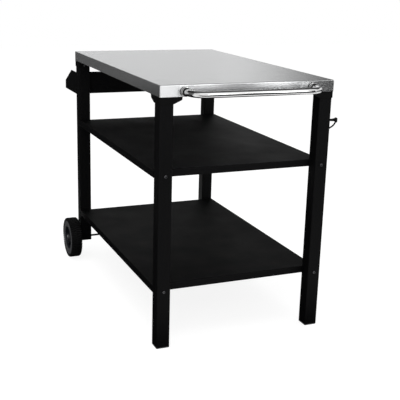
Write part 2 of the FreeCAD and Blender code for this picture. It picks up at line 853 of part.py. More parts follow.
def make_handle_bar():
    """Tube bent at both ends, with threaded ends that the screws pull against the skirt."""
    body = new_body("handle_bar")
    start_x = d.table_length / 2
    half = handle_half
    section = new_sketch(body, "YZ", x=start_x, y=-half, z=handle_height)
    circle(section, d.handle_tube / 2)
    spine = new_sketch(body, "XY", z=handle_height)
    path_x = start_x + d.handle_reach
    bend = d.handle_bend
    runs = [((start_x, -half), (path_x - bend, -half)), ((path_x, -half + bend), (path_x, half - bend)),
            ((path_x - bend, half), (start_x, half))]
    for start, end in runs:
        index = spine.addGeometry(Part.LineSegment(
            FreeCAD.Vector(start[0].value, start[1].value, 0), FreeCAD.Vector(end[0].value, end[1].value, 0)))
        hold_point(spine, index, 1, *start)
        hold_point(spine, index, 2, *end)
    for side, run, angle in ((-1, 0, -90), (1, 1, 0)):
        centre = FreeCAD.Vector((path_x - bend).value, side * (half - bend).value, 0)
        curve = Part.Circle(centre, FreeCAD.Vector(0, 0, 1), bend.value)
        arc = spine.addGeometry(Part.ArcOfCircle(curve, math.radians(angle), math.radians(angle + 90)))
        spine.addConstraint(Sketcher.Constraint("Coincident", run, 2, arc, 1))
        spine.addConstraint(Sketcher.Constraint("Coincident", arc, 2, run + 1, 1))
        hold(spine, "DistanceX", arc, 3, path_x - bend)
    tube = body.newObject("PartDesign::AdditivePipe", "tube")
    tube.Profile = section
    doc.recompute()
    tube.Spine = (spine, [])
    doc.recompute()
    thread = drill(body, "YZ", bolt_radius + d.fit, d.handle_screw_depth, x=start_x, y=half, z=handle_height,
                   backwards=True)
    pattern(body, [thread], ["XZ"])
    place(body)
    return body


def make_handle_boss(side_name, side):
    """Round flange that the tube stands in, against the skirt."""
    body = new_body(f"{side_name}_handle_boss")
    inner = d.handle_tube / 2 + d.fit
    outer = d.boss_diameter / 2
    section = new_sketch(body, "XY")
    polygon(section, [
        (ZERO, inner), (ZERO, outer), (d.boss_height - d.boss_round, outer),
        (d.boss_height - d.boss_round * 0.3, outer - d.boss_round * 0.3),
        (d.boss_height, outer - d.boss_round), (d.boss_height, inner)])
    revolve(body, "Revolution", section, "H_Axis")
    place(body, x=d.table_length / 2, y=side * handle_half, z=handle_height)
    return body


def make_handle_screws():
    """Screws from inside the skirt into the tube's ends."""
    body = new_body("handle_screws")
    screw = headed_screw(body, "XZ", d.top_sheet - d.table_length / 2, handle_half, handle_height,
                         bolt_radius, d.top_sheet + d.handle_screw_depth - d.bolt_tail,
                         d.bolt_head_diameter / 2, d.bolt_head_height)
    pattern(body, [screw], ["XZ"])
    place(body, turn=180)
    return body


# Tool hook


def make_tool_hook():
    """Hook on the front right leg: a plate, an arm with an upturned tip, and a wire brace below it."""
    body = new_body("tool_hook")
    plate = new_sketch(body, "XZ", z=hook_bottom + d.hook_plate_height / 2)
    rectangle(plate, d.hook_plate_width / 2, d.hook_plate_height / 2)
    pad(body, plate, d.hook_sheet, backwards=True)
    round_edges(body, d.hook_sheet, lambda middle, way: abs(way.y) > 0.99)
    arm_top = hook_top - d.hook_tip_rise
    arm_under = arm_top - d.hook_arm_depth
    tip_root = d.hook_reach - d.hook_tip
    arm = new_sketch(body, "YZ")
    polygon(arm, [
        (d.hook_sheet / 2, arm_top), (tip_root - d.hook_tip_rise, arm_top), (tip_root, hook_top),
        (d.hook_reach - d.hook_sheet, hook_top), (d.hook_reach, arm_top), (d.hook_reach, arm_under),
        (d.hook_reach - d.hook_sheet, arm_under - d.hook_tip_drop), (tip_root, arm_under - d.hook_tip_drop),
        (tip_root - d.hook_tip_rise, arm_under), (d.hook_sheet / 2, arm_under)])
    pad(body, arm, d.hook_arm_width, both_ways=True)
    wire_y = d.hook_reach - d.hook_tip / 2
    wire_z = arm_under - d.hook_tip_drop
    foot_y = d.hook_sheet / 2
    foot_z = hook_bottom + d.hook_wire
    run = math.hypot(wire_y.value - foot_y.value, wire_z.value - foot_z.value)
    across = d.hook_wire / 2 * ((wire_z.value - foot_z.value) / run)
    along = d.hook_wire / 2 * ((wire_y.value - foot_y.value) / run)
    brace = new_sketch(body, "YZ")
    polygon(brace, [
        (foot_y - across, foot_z + along), (foot_y + across, foot_z - along), (wire_y + across, wire_z - along),
        (wire_y + across, wire_z + along), (wire_y - across, wire_z + along)])
    pad(body, brace, d.hook_wire, both_ways=True)
    for height in hook_screw_heights:
        drill(body, "XZ", screw_hole_radius, d.hook_sheet, z=height)
    place(body, x=leg_x, y=leg_y + leg_half)
    return body


def make_hook_screws():
    body = new_body("hook_screws")
    screw = headed_screw(body, "YZ", ZERO, d.hook_sheet, hook_screw_heights[1], screw_radius,
                         d.hook_sheet + d.leg_wall + d.screw_tail, d.screw_head_diameter / 2, d.screw_head_height)
    pattern(body, [screw], [("Z", hook_screw_heights[0] - hook_screw_heights[1], 2)])
    place(body, x=leg_x, y=leg_y + leg_half)
    return body


# Fasteners of the frame


def make_shelf_bolts():
    """Bolts through both walls of each leg and the shelf's end skirt."""
    body = new_body("shelf_bolts")
    grip = d.leg_size + d.shelf_sheet + d.nut_height + d.bolt_tail
    bolt = headed_screw(body, "XZ", leg_x + leg_half, leg_y, low_bolt_height, bolt_radius, grip,
                        d.bolt_head_diameter / 2, d.bolt_head_height)
    row = ("Z", mid_bolt_height - low_bolt_height, 2)
    pattern(body, [bolt], ["YZ", "XZ", row])
    place(body)
    return body


def make_shelf_nuts():
    body = new_body("shelf_nuts")
    outline = new_sketch(body, "YZ", x=shelf_half_length - d.shelf_sheet, y=leg_y, z=low_bolt_height)
    hexagon(outline, d.nut_width)
    circle(outline, bolt_radius + d.fit)
    nut = pad(body, outline, d.nut_height, backwards=True)
    row = ("Z", mid_bolt_height - low_bolt_height, 2)
    pattern(body, [nut], ["YZ", "XZ", row])
    place(body)
    return body


def make_bracket_screws():
    """Screws up through each bracket's ears and the worktop's lip. They are drawn head down."""
    body = new_body("bracket_screws")
    grip = d.bracket_plate + d.top_sheet + d.nut_height + d.bolt_tail
    head_radius = d.bolt_head_diameter / 2
    screws = []
    for x, y in bracket_screw_places():
        sketch = new_sketch(body, "XZ", x=x, y=y, z=leg_top)
        polygon(sketch, [
            (ZERO, grip), (bolt_radius, grip), (bolt_radius, ZERO), (head_radius, ZERO),
            (head_radius, d.bolt_head_height * -0.4), (head_radius * 0.76, d.bolt_head_height * -0.8),
            (head_radius * 0.45, -d.bolt_head_height), (ZERO, -d.bolt_head_height)])
        screws.append(revolve(body, "Revolution", sketch, "V_Axis"))
    pattern(body, screws, ["YZ", "XZ"])
    place(body)
    return body


def make_bracket_nuts():
    body = new_body("bracket_nuts")
    nuts = []
    for x, y in bracket_screw_places():
        outline = new_sketch(body, "XY", x=x, y=y, z=skirt_bottom + d.top_sheet)
        hexagon(outline, d.nut_width)
        circle(outline, bolt_radius + d.fit)
        nuts.append(pad(body, outline, d.nut_height))
    pattern(body, nuts, ["YZ", "XZ"])
    place(body)
    return body


def make_leg_screws():
    """One screw through each leg's inner face into its bracket's plug."""
    body = new_body("leg_screws")
    screw = headed_screw(body, "XZ", leg_half - leg_x, leg_y, leg_top - d.leg_screw_drop, screw_radius,
                         d.leg_wall + d.plug_gap + d.plug_wall + d.screw_tail / 2,
                         d.screw_head_diameter / 2, d.screw_head_height)
    pattern(body, [screw], ["YZ", "XZ"])
    place(body)
    return body


pieces = [make_tabletop()]
pieces += make_top_stiffeners()
for leg in LEGS:
    pieces.append(make_leg(*leg))
    pieces.append(make_foot(*leg))
    pieces.append(make_bracket(*leg))
pieces += make_shelves()
for wheel in WHEELS:
    pieces.append(make_tyre(*wheel))
    pieces.append(make_rim(*wheel))
    pieces.append(make_hub_cap(*wheel))
pieces.append(make_axle())
pieces += make_axle_fittings()
pieces += make_tray()
pieces += [make_tray_screws(), make_handle_bar()]
pieces += [make_handle_boss("left", -1), make_handle_boss("right", 1), make_handle_screws()]
pieces += [make_tool_hook(), make_hook_screws()]
pieces += [make_shelf_bolts(), make_shelf_nuts(), make_bracket_screws(), make_bracket_nuts(), make_leg_screws()]
doc.recompute()

for item in doc.Objects:
    if "Invalid" in item.State or "Error" in item.State:
        raise ValueError(f"{item.Name} of {item.Label} did not build: {item.State}")
for piece in pieces:
    if piece.Shape.isNull() or not piece.Shape.isValid():
        raise ValueError(f"{piece.Label} has no valid shape")

os.makedirs("parts", exist_ok=True)
for piece in pieces:
    piece.Shape.exportStep(f"parts/{piece.Label}.step")
    print(f"{piece.Label}: {len(piece.Shape.Solids)} solids, {piece.Shape.Volume / 1000:.1f} cm3")
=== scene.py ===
# %% [markdown]
# # An outdoor pizza oven table
#
# The table is a stainless steel worktop on four square legs, with two black shelves, two wheels, a
# small tray on the wheel end and a bent handle on the other. The solids come from the CAD model. This
# lesson gives them real finishes, and makes again, as smooth surfaces, the pieces whose curves or small
# details a CAD mesh shows too plainly: the handle, the wheels, the hook and the screws.

# %% Load the CAD model
import json
import math

import bmesh
import bpy
import numpy as np
from mathutils import Matrix, Vector


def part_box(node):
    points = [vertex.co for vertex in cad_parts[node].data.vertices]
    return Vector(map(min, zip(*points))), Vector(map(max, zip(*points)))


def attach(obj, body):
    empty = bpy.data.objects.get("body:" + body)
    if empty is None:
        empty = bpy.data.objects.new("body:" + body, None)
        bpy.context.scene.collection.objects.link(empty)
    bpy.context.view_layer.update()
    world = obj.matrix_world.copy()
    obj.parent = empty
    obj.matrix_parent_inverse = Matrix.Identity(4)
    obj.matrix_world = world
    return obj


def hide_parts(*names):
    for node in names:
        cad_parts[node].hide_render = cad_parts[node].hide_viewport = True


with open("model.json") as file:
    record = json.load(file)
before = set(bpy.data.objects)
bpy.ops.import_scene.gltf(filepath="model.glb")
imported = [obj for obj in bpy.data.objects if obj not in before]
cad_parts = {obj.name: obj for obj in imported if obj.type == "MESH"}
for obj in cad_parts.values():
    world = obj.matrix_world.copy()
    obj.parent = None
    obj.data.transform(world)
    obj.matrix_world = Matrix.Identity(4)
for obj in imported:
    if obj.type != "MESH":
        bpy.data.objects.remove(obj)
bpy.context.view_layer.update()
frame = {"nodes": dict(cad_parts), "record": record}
nodes = frame["nodes"]
scene = bpy.context.scene

# %% [markdown]
# ## Camera
#
# The photograph was taken from the handle end, a little above the worktop, with a moderately long lens.
# The position and the three angles below were found by matching the corners of the worktop, the shelves
# and the legs. A camera looks along its own -Z, so its three axes are written as the columns of a matrix.

# %% Camera
TABLE_SHIFT = 0.0435
CAMERA_AT = Vector((2.74145 + TABLE_SHIFT, -1.12785, 1.18855))
HEADING, DOWNWARD, ROLL = (math.radians(v) for v in (156.7231, 15.9230, 1.6078))
FOCAL_PIXELS = 819.69
IMAGE_PIXELS = 400


def camera_axes(heading, downward, roll):
    """Right, up and backward unit vectors of a camera that is turned, tipped down and then rolled."""
    forward = Vector((math.cos(heading) * math.cos(downward), math.sin(heading) * math.cos(downward),
                      -math.sin(downward)))
    right = Vector((math.sin(heading), -math.cos(heading), 0))
    up = right.cross(forward)
    rolled_right = math.cos(roll) * right + math.sin(roll) * up
    rolled_up = math.cos(roll) * up - math.sin(roll) * right
    return rolled_right, rolled_up, -forward


camera_data = bpy.data.cameras.new("photo_camera")
camera_data.sensor_width = 36
camera_data.lens = FOCAL_PIXELS / IMAGE_PIXELS * camera_data.sensor_width
camera_data.clip_end = 50
camera = bpy.data.objects.new("photo_camera", camera_data)
scene.collection.objects.link(camera)
axes = camera_axes(HEADING, DOWNWARD, ROLL)
camera.matrix_world = Matrix.Translation(CAMERA_AT) @ Matrix(axes).transposed().to_4x4()
scene.camera = camera
print("Lens in millimetres:", round(camera_data.lens, 1))

# %% [markdown]
# ## Tools for finishes
#
# A colour is written as a web colour, because that is how colours are read from a picture. Shaders work
# with linear light, so one function converts it. Another small function adds a node and joins it up.

# %% Helpers for materials


def colour(web):
    """Linear red, green, blue and alpha of a web colour: the sRGB curve undone, channel by channel."""
    srgb = np.array([int(web[i:i + 2], 16) for i in (1, 3, 5)]) / 255
    linear = np.where(srgb <= 0.04045, srgb / 12.92, ((srgb + 0.055) / 1.055) ** 2.4)
    return (*linear.tolist(), 1.0)


def add_node(tree, kind, inputs=None, **settings):
    """Adds a node. Each input is a plain value, or (node, output name) for a link."""
    node = tree.nodes.new(kind)
    for name, value in settings.items():
        setattr(node, name, value)
    for name, value in (inputs or {}).items():
        if isinstance(value, tuple) and isinstance(value[0], bpy.types.Node):
            tree.links.new(value[0].outputs[value[1]], node.inputs[name])
        else:
            node.inputs[name].default_value = value
    return node


def new_material(name, **shader_values):
    """A material with one Principled shader. Returns the material, its node tree and the shader."""
    material = bpy.data.materials.new(name)
    material.use_nodes = True
    tree = material.node_tree
    shader = tree.nodes["Principled BSDF"]
    for socket, value in shader_values.items():
        shader.inputs[socket.replace("_", " ")].default_value = value
    return material, tree, shader


def noise(tree, cells, detail=2.0):
    """Noise with its own number of cells per metre along X, Y and Z of the object."""
    place = add_node(tree, "ShaderNodeTexCoord")
    scaled = add_node(tree, "ShaderNodeMapping", {"Vector": (place, "Object"), "Scale": cells})
    return add_node(tree, "ShaderNodeTexNoise", {"Vector": (scaled, "Vector"), "Scale": 1.0, "Detail": detail})


def drive(tree, shader, socket, source, low, high):
    """Spreads the middle of a noise over a range of values, and feeds it to a socket."""
    spread = add_node(tree, "ShaderNodeMapRange", {"Value": (source, "Fac"), "From Min": 0.3, "From Max": 0.7,
                                                   "To Min": low, "To Max": high})
    tree.links.new(spread.outputs["Result"], shader.inputs[socket])


def tint(tree, shader, source, tones):
    """Blends the base colour between two web colours by a noise."""
    mixed = add_node(tree, "ShaderNodeMix", {"Factor": (source, "Fac"), 6: colour(tones[0]), 7: colour(tones[1])},
                     data_type="RGBA")
    tree.links.new(mixed.outputs[2], shader.inputs["Base Color"])
    return mixed


def relief(tree, shader, source, depth_mm, strength=0.5):
    """A bump whose full height is depth_mm."""
    bump = add_node(tree, "ShaderNodeBump", {"Height": (source, "Fac"), "Distance": depth_mm / 1000,
                                             "Strength": strength})
    tree.links.new(bump.outputs["Normal"], shader.inputs["Normal"])


# %% [markdown]
# ## Brushed stainless steel
#
# The worktop is 304 stainless steel sheet with a satin belt finish. The belt leaves scratches a few hundredths
# of a millimetre wide and several centimetres long, all running across the table. A reflection in it
# stays sharp along the scratches and spreads at right angles to them, which the shader's anisotropy does.
# Scratches as fine as that can't show here, so they are drawn 0.7 mm apart, with broad soft bands where
# the belt pressed harder. The tangent is the direction across the scratches on every face of the fold.

# %% Stainless steel finish
# Cells per metre along X, Y and Z.
SCRATCH_CELLS = (1400, 9, 1400)
BAND_CELLS = (22, 1.2, 22)


def brushed_steel():
    """Satin stainless steel. Its tangent is the cross product of the normal and the scratches' direction,
    which is along Y, with a little Z so that it is never zero."""
    material, tree, shader = new_material("brushed_304_stainless", Metallic=1.0, Anisotropic=0.93)
    scratch = noise(tree, SCRATCH_CELLS, 3.0)
    band = noise(tree, BAND_CELLS, 2.0)
    drive(tree, shader, "Roughness", scratch, 0.18, 0.25)
    tint(tree, shader, band, ("#D4D5D6", "#DDDEDF"))
    relief(tree, shader, scratch, depth_mm=0.02, strength=0.35)
    surface = add_node(tree, "ShaderNodeNewGeometry")
    across = add_node(tree, "ShaderNodeVectorMath", {0: (surface, "Normal"), 1: (0.0, 1.0, 0.01)},
                      operation="CROSS_PRODUCT")
    unit = add_node(tree, "ShaderNodeVectorMath", {0: (across, "Vector")}, operation="NORMALIZE")
    tree.links.new(unit.outputs["Vector"], shader.inputs["Tangent"])
    return material


steel = brushed_steel()
print("Made", steel.name)

# %% [markdown]
# ## Black powder coat
#
# The legs, shelves and tray are mild steel with a baked polyester powder coat. The powder melts and
# levels before it sets, but keeps a fine orange peel about a millimetre across, so its sheen is soft and
# its colour stays even. This one is a deep matt black.

# %% Powder coat finish
CLOUD_CELLS = (9, 9, 9)


def powder_coat(name, tones, roughness, grain_mm):
    """A dark, matt coat with a noise bump whose cells are grain_mm across. A much larger noise, the cloud,
    moves its roughness and tone a little."""
    material, tree, shader = new_material(name, Specular_IOR_Level=0.1)
    peel = noise(tree, (1000 / grain_mm,) * 3)
    cloud = noise(tree, CLOUD_CELLS, 3.0)
    drive(tree, shader, "Roughness", cloud, roughness - 0.04, roughness + 0.04)
    tint(tree, shader, cloud, tones)
    relief(tree, shader, peel, depth_mm=0.06)
    return material


frame_coat = powder_coat("black_powder_coat", ("#040405", "#070708"), 0.6, 1.2)
bracket_coat = powder_coat("black_textured_coat", ("#040404", "#070707"), 0.66, 0.8)
print("Made", frame_coat.name, "and", bracket_coat.name)

# %% [markdown]
# ## The other finishes
#
# Each is a common workshop material: polished stainless for the handle, moulded rubber for the tyres,
# polypropylene for the rims and caps, zinc plate for the axle and nuts, and black oxide for the screws.

# %% Other finishes


def grained(name, tones, roughness, grain_mm, depth_mm, mark=None, second_tone=None, **shader_values):
    """A finish with a noise of a stated grain for its tone, roughness and bump. If mark is given, it is the
    name of the piece's own attribute, and the second tone takes over where that rises from 0 to 1."""
    material, tree, shader = new_material(name, **shader_values)
    grain = noise(tree, (1000 / grain_mm,) * 3, 3.0)
    drive(tree, shader, "Roughness", grain, *roughness)
    relief(tree, shader, grain, depth_mm)
    plain = tint(tree, shader, grain, tones)
    if mark:
        share = add_node(tree, "ShaderNodeAttribute", attribute_name=mark)
        mixed = add_node(tree, "ShaderNodeMix", {"Factor": (share, "Fac"), 6: (plain, "Result"),
                                                 7: colour(second_tone)}, data_type="RGBA")
        tree.links.new(mixed.outputs[2], shader.inputs["Base Color"])
    return material


# Polished stainless mirrors almost sharply. The flanges' grooves get a dark tone, which is painted shade in the
# grooves.
polished = grained("polished_stainless", ("#D0D0D0", "#DADADA"), (0.08, 0.14), 4, 0.002, "groove", "#1C1C1C",
                   Metallic=1.0)
# Rubber hardly shines. The sidewall is grey, and the tread blocks are a little paler than the grooves, which is
# painted shade in the grooves.
rubber = grained("moulded_rubber", ("#040404", "#070707"), (0.6, 0.75), 1.4, 0.05, "sidewall", "#545456",
                 Specular_IOR_Level=0.15)
# The plastics have the fine dull grain of their moulds.
plastic = grained("moulded_polypropylene", ("#16181D", "#1E2026"), (0.36, 0.46), 0.9, 0.02, Specular_IOR_Level=0.3)
cap_plastic = grained("grey_polypropylene", ("#232325", "#2B2B2D"), (0.3, 0.38), 0.9, 0.02)
foot_plastic = grained("moulded_polyethylene", ("#0E0E0E", "#131313"), (0.5, 0.6), 0.9, 0.02)
# Zinc plate is a little cloudy. Black oxide is so thin that the steel's shine comes through it.
zinc = grained("zinc_plated_steel", ("#A9ABAD", "#BFC0BF"), (0.28, 0.4), 2.5, 0.01, Metallic=1.0)
black_oxide = grained("black_oxide_steel", ("#4A4A4C", "#58585A"), (0.22, 0.3), 1.2, 0.01, Metallic=1.0)

FINISHES = {"worktop": steel, "frame": frame_coat, "tray": frame_coat, "bracket": bracket_coat,
            "cap": foot_plastic, "handle": polished, "tyre": rubber, "rim": plastic, "hub_cap": cap_plastic,
            "hook": frame_coat, "zinc": zinc, "black_screw": black_oxide}
slot_of = {part["node"]: part["material_slot"] for part in frame["record"]["subparts"]}
for name, solid in nodes.items():
    solid.data.materials.clear()
    solid.data.materials.append(FINISHES[slot_of[name]])
print("Finished", len(nodes), "CAD nodes")

# %% [markdown]
# ## Smooth surfaces from rows of points
#
# Every new piece below is made from grids of points. Each row of a grid is a closed loop, and the next
# row is joined to it by four-sided faces. A lathe turns an outline about an axle, and a loft carries an
# outline along a path. One function then joins the grids into a single closed mesh.

# %% Shape tools
MM = 0.001
WELD = 2e-6
BODY_OF = {node: body for body, members in frame["record"]["behaviour"]["bodies"].items() for node in members}
AXES = {"X": (0, 1, 2), "Y": (1, 2, 0), "Z": (2, 0, 1)}


def rounded(corners, reach, steps=5):
    """Replaces each corner of a closed outline by a curve that starts and ends at a distance from it,
    reach: (1 - t)^2 start + 2 t (1 - t) corner + t^2 end. A reach of 0 leaves a corner sharp, and none
    takes more than 0.45 of a side."""
    corners = np.array(corners, float)
    reach = np.broadcast_to(np.asarray(reach, float), len(corners))[:, None]
    before = np.roll(corners, 1, axis=0) - corners
    after = np.roll(corners, -1, axis=0) - corners
    start, end = (corners + way * np.minimum(reach / np.linalg.norm(way, axis=1, keepdims=True), 0.45)
                  for way in (before, after))
    t = np.linspace(0, 1, steps)[None, :, None]
    curve = (1 - t) ** 2 * start[:, None] + 2 * t * (1 - t) * corners[:, None] + t ** 2 * end[:, None]
    return curve.reshape(-1, corners.shape[1])


def turned(profile, centre, axis="Y", side=1, segments=96):
    """Turns an outline about an axis. Each row of the outline is (radius, distance along the axis), in
    millimetres, with a third number where the loop is a hexagon instead of a circle. A hexagon's radius
    is r cos(30) / cos(a mod 60 - 30)."""
    profile = np.array(profile, float)
    angle = np.linspace(0, 2 * math.pi, segments, endpoint=False)[None, :]
    sixth = math.pi / 3
    flat = math.cos(sixth / 2) / np.cos(np.mod(angle, sixth) - sixth / 2)
    share = profile[:, 2:3] if profile.shape[1] > 2 else np.zeros((len(profile), 1))
    radius = profile[:, :1] * (1 + share * (flat - 1))
    points = np.empty((len(profile), segments, 3))
    along, first, second = AXES[axis]
    points[..., along] = side * profile[:, 1:2]
    points[..., first] = radius * np.cos(angle)
    points[..., second] = radius * np.sin(angle)
    return points * MM + np.array(centre)


def lofted(path, outline, across):
    """Carries an outline along a path. At each point of the path the outline's first axis is across and
    its second is square to both. The outline can be one for the whole path, or one for each point."""
    path = np.array(path, float)
    way = np.gradient(path, axis=0)
    way /= np.linalg.norm(way, axis=1, keepdims=True)
    across = np.broadcast_to(np.array(across, float), path.shape)
    upward = np.cross(way, across)
    outline = np.broadcast_to(outline, (len(path), *np.shape(outline)[-2:]))
    points = path[:, None] + outline[..., :1] * across[:, None] + outline[..., 1:2] * upward[:, None]
    return points * MM


def joined(points, ring):
    """Corner points and faces of one grid. A ring joins its last row to its first. Otherwise a point in
    the middle of each end row closes that end."""
    if not ring:
        ends = np.broadcast_to(points[[0, -1]].mean(axis=1, keepdims=True), (2, *points.shape[1:]))
        points = np.concatenate([ends[:1], points, ends[1:]])
    rows, columns = points.shape[:2]
    row = np.arange(rows if ring else rows - 1)[:, None]
    column = np.arange(columns)[None, :]
    below, beside = (row + 1) % rows, (column + 1) % columns
    faces = np.stack([row * columns + column, row * columns + beside, below * columns + beside,
                      below * columns + column], axis=-1)
    return points.reshape(-1, 3), faces.reshape(-1, 4)


def piece(node, closed=(), rings=(), sharp=38, marks=None):
    """One smooth mesh from several grids. It stands for a CAD node, rides on that node's body and takes
    the finish of its slot. Points that lie on one another become one, and faces turn outward."""
    corners, faces, start = [], [], 0
    for points, ring in [(points, False) for points in closed] + [(points, True) for points in rings]:
        grid_corners, grid_faces = joined(points, ring)
        corners.append(grid_corners)
        faces.append(grid_faces + start)
        start += len(grid_corners)
    mesh = bpy.data.meshes.new(f"{node}_smooth")
    mesh.from_pydata(np.concatenate(corners).tolist(), [], np.concatenate(faces).tolist())
    for name, values in (marks or {}).items():
        mesh.attributes.new(name, "FLOAT", "POINT").data.foreach_set("value", values.astype(np.float32))
    work = bmesh.new()
    work.from_mesh(mesh)
    bmesh.ops.remove_doubles(work, verts=work.verts, dist=WELD)
    bmesh.ops.recalc_face_normals(work, faces=work.faces)
    work.to_mesh(mesh)
    work.free()
    mesh.shade_smooth()
    mesh.set_sharp_from_angle(angle=math.radians(sharp))
    mesh.materials.append(FINISHES[slot_of[node]])
    made = bpy.data.objects.new(f"{node}_smooth", mesh)
    scene.collection.objects.link(made)
    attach(made, BODY_OF[node])
    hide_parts(node)
    print(made.name, len(mesh.polygons), "faces")
    return made


def middle(node):
    """The middle of a CAD node's box, in millimetres."""
    low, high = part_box(node)
    return (np.array(low) + np.array(high)) / 2 / MM


SHIFT = TABLE_SHIFT / MM
LEG_SIZE = 45
leg_place = middle("front_right_leg")
leg_y = leg_place[1]
leg_x = leg_place[0] - SHIFT
print("Leg centres in millimetres:", round(leg_x, 1), round(leg_y, 1))

# %% [markdown]
# ## The handle
#
# The handle is a 20 mm stainless tube, bent cold to a radius of 44 mm at both ends and polished. It is
# screwed from inside the skirt, through two flanges that are turned from bar and have a groove round them.
# The path is two straight legs, two quarter circles and the straight grip. A tube carried along that path
# keeps its round section in the bends, where the CAD mesh has flats. A flange is a lathe: its outline is
# turned about the tube's own line.

# %% Handle
HANDLE_REACH = 74
HANDLE_BEND = 44
TUBE_RADIUS = 10
BORE = TUBE_RADIUS + 0.1
# A flange's outline: (radius, distance from the skirt), and how far each corner is rounded.
FLANGE = [(BORE, 0), (13, 0), (13, 1.6), (15, 1.6), (15, 5.4), (12, 5.4), (12, 9.2), (13.8, 9.2), (13.8, 12),
          (11.8, 12), (11.4, 9.5), (BORE, 9.5)]
FLANGE_REACHES = (0, 0, 0, 1, 1, 0.3, 0.3, 1, 1.2, 0.3, 0, 0)
FLANGE_SEGMENTS = 64
# Where the flange is narrower than this, or this near the skirt, its tone is painted dark: painted shade in the
# grooves.
GROOVE_SHADE_RADIUS = 13.2
SKIRT_SHADE_DEPTH = 3.6


def handle():
    """The tube is a circle of 48 points along its path. A flange has two rounded rims with a groove between them, and
    one more groove at the skirt and one at the tube. The mark is 1 where the radius or the distance from the skirt is
    small, and that is in the grooves, which the finish paints dark as painted shade."""
    low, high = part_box("left_handle_boss")
    skirt, height = low[0] / MM, (low[2] + high[2]) / 2 / MM
    half = abs(low[1] + high[1]) / 2 / MM
    reach = skirt + HANDLE_REACH
    quarter = np.linspace(0, math.pi / 2, 17)
    bend = np.stack([reach - HANDLE_BEND + HANDLE_BEND * np.sin(quarter),
                     HANDLE_BEND * np.cos(quarter) + half - HANDLE_BEND, np.full(17, height)], axis=1)
    arm = np.linspace((skirt + 1, half, height), bend[0], 5)[:-1]
    grip = np.linspace(bend[-1], (reach, 0, height), 9)[1:-1]
    one_side = np.concatenate([arm, bend, grip])
    path = np.concatenate([one_side * (1, -1, 1), one_side[::-1]])
    turn = np.linspace(0, 2 * math.pi, 48, endpoint=False)
    circle = TUBE_RADIUS * np.stack([np.cos(turn), np.sin(turn)], axis=1)
    piece("handle_bar", [lofted(path, circle, (0, 0, 1))])
    outline = rounded(FLANGE, FLANGE_REACHES)
    # Painted shade: the rows in the grooves take the finish's dark second tone.
    dark = (outline[:, :1] < GROOVE_SHADE_RADIUS) | (outline[:, 1:] < SKIRT_SHADE_DEPTH)
    groove = np.repeat(dark * 1.0, FLANGE_SEGMENTS, axis=1)
    for name, sign in (("left", -1), ("right", 1)):
        place = (skirt * MM, sign * half * MM, height * MM)
        piece(f"{name}_handle_boss", rings=[turned(outline, place, "X", segments=FLANGE_SEGMENTS)],
              marks={"groove": groove.ravel()})


handle()

# %% [markdown]
# ## The wheels
#
# Each tyre is moulded rubber on a moulded rim. The mould leaves two rows of blocks, half a pitch apart,
# with a thin rib between the rows, and the blocks run over the shoulder onto the sidewall. That is one
# surface: an outline at the blocks' height, an outline at the grooves' depth, and a share between them
# that goes from 0 to 1 in every groove.

# %% Tyres
TREAD_PITCHES = 56
SAMPLES = 12
GROOVE_SHARE = 0.42
SIDEWALL_RADIUS = 69.6
# How much of the sidewall's grey the blocks take and the groove floors don't: painted shade in the grooves.
TREAD_GROOVE_SHADE = 0.05
# Half outlines: (radius, distance from the middle of the tread), and how far each corner is rounded. From
# the ninth corner to the bead the two are the same.
BLOCKS = [(82, 0), (82, 1.5), (82, 1.9), (82, 14.5), (81.4, 19), (79, 21.4), (70.6, 21.7), (69.4, 20.4), (65, 20.8),
          (64.4, 21.2), (63.4, 21.2), (62.8, 20.8), (55, 20.6), (53.8, 21.2), (51, 21), (49, 18.6)]
FLOORS = [(82, 0), (82, 1.5), (79, 1.9), (78.6, 14.5), (76.4, 17.4), (73.6, 19), (70.6, 19.8), (69.4, 20.2),
          *BLOCKS[8:]]
REACHES = [0, 0.2, 0.3, 2, 1.0, 1.0, 0.5, 0.5, 0.3, 0.3, 0.3, 0.3, 0.5, 0.6, 0.8, 0.6]


def whole_outline(half):
    """An outline from the middle of the tread round to the bead, and its mirror image back again."""
    half = np.array(half, float)
    return np.concatenate([half, (half * (1, -1))[:0:-1]])


def tyre(name, side):
    """surface = blocks + share (floors - blocks). The share rises from 0 to 1 over one sample at each
    edge of a groove, and the row on the other side of the rib is half a pitch further round."""
    centre = middle(f"{name}_tyre") * MM
    reach = np.concatenate([REACHES, REACHES[:0:-1]])
    blocks, floors = (rounded(whole_outline(outline), reach, 4) for outline in (BLOCKS, FLOORS))
    count = TREAD_PITCHES * SAMPLES
    high, low = (turned(outline, centre, "Y", side, count) for outline in (blocks, floors))
    pitch = np.arange(count)[None, :] / SAMPLES + 0.5 * (blocks[:, 1:2] > 0)
    off_middle = np.abs(np.mod(pitch, 1) - 0.5)
    share = np.clip((GROOVE_SHARE / 2 - off_middle) * SAMPLES + 0.5, 0, 1)[..., None]
    # The sidewall's own grey, and on the tread a little of it on the blocks only, which paints shade into the
    # grooves.
    sidewall = np.where(blocks[:, :1] < SIDEWALL_RADIUS, 1.0, TREAD_GROOVE_SHADE * (1 - share[..., 0]))
    piece(f"{name}_tyre", rings=[high + share * (low - high)], sharp=30, marks={"sidewall": sidewall.ravel()})


for name, side in (("left", 1), ("right", -1)):
    tyre(name, side)

# %% [markdown]
# ## Rims and hub caps
#
# The rim is one moulding: a barrel that holds the tyre, a web, a hub, and six tapered spokes in front of
# the web. A round cap is pushed over the hub and hides the axle nut. The barrel, web, hub and cap are round,
# so they are lathes, and a spoke is a loft from the hub to the barrel.

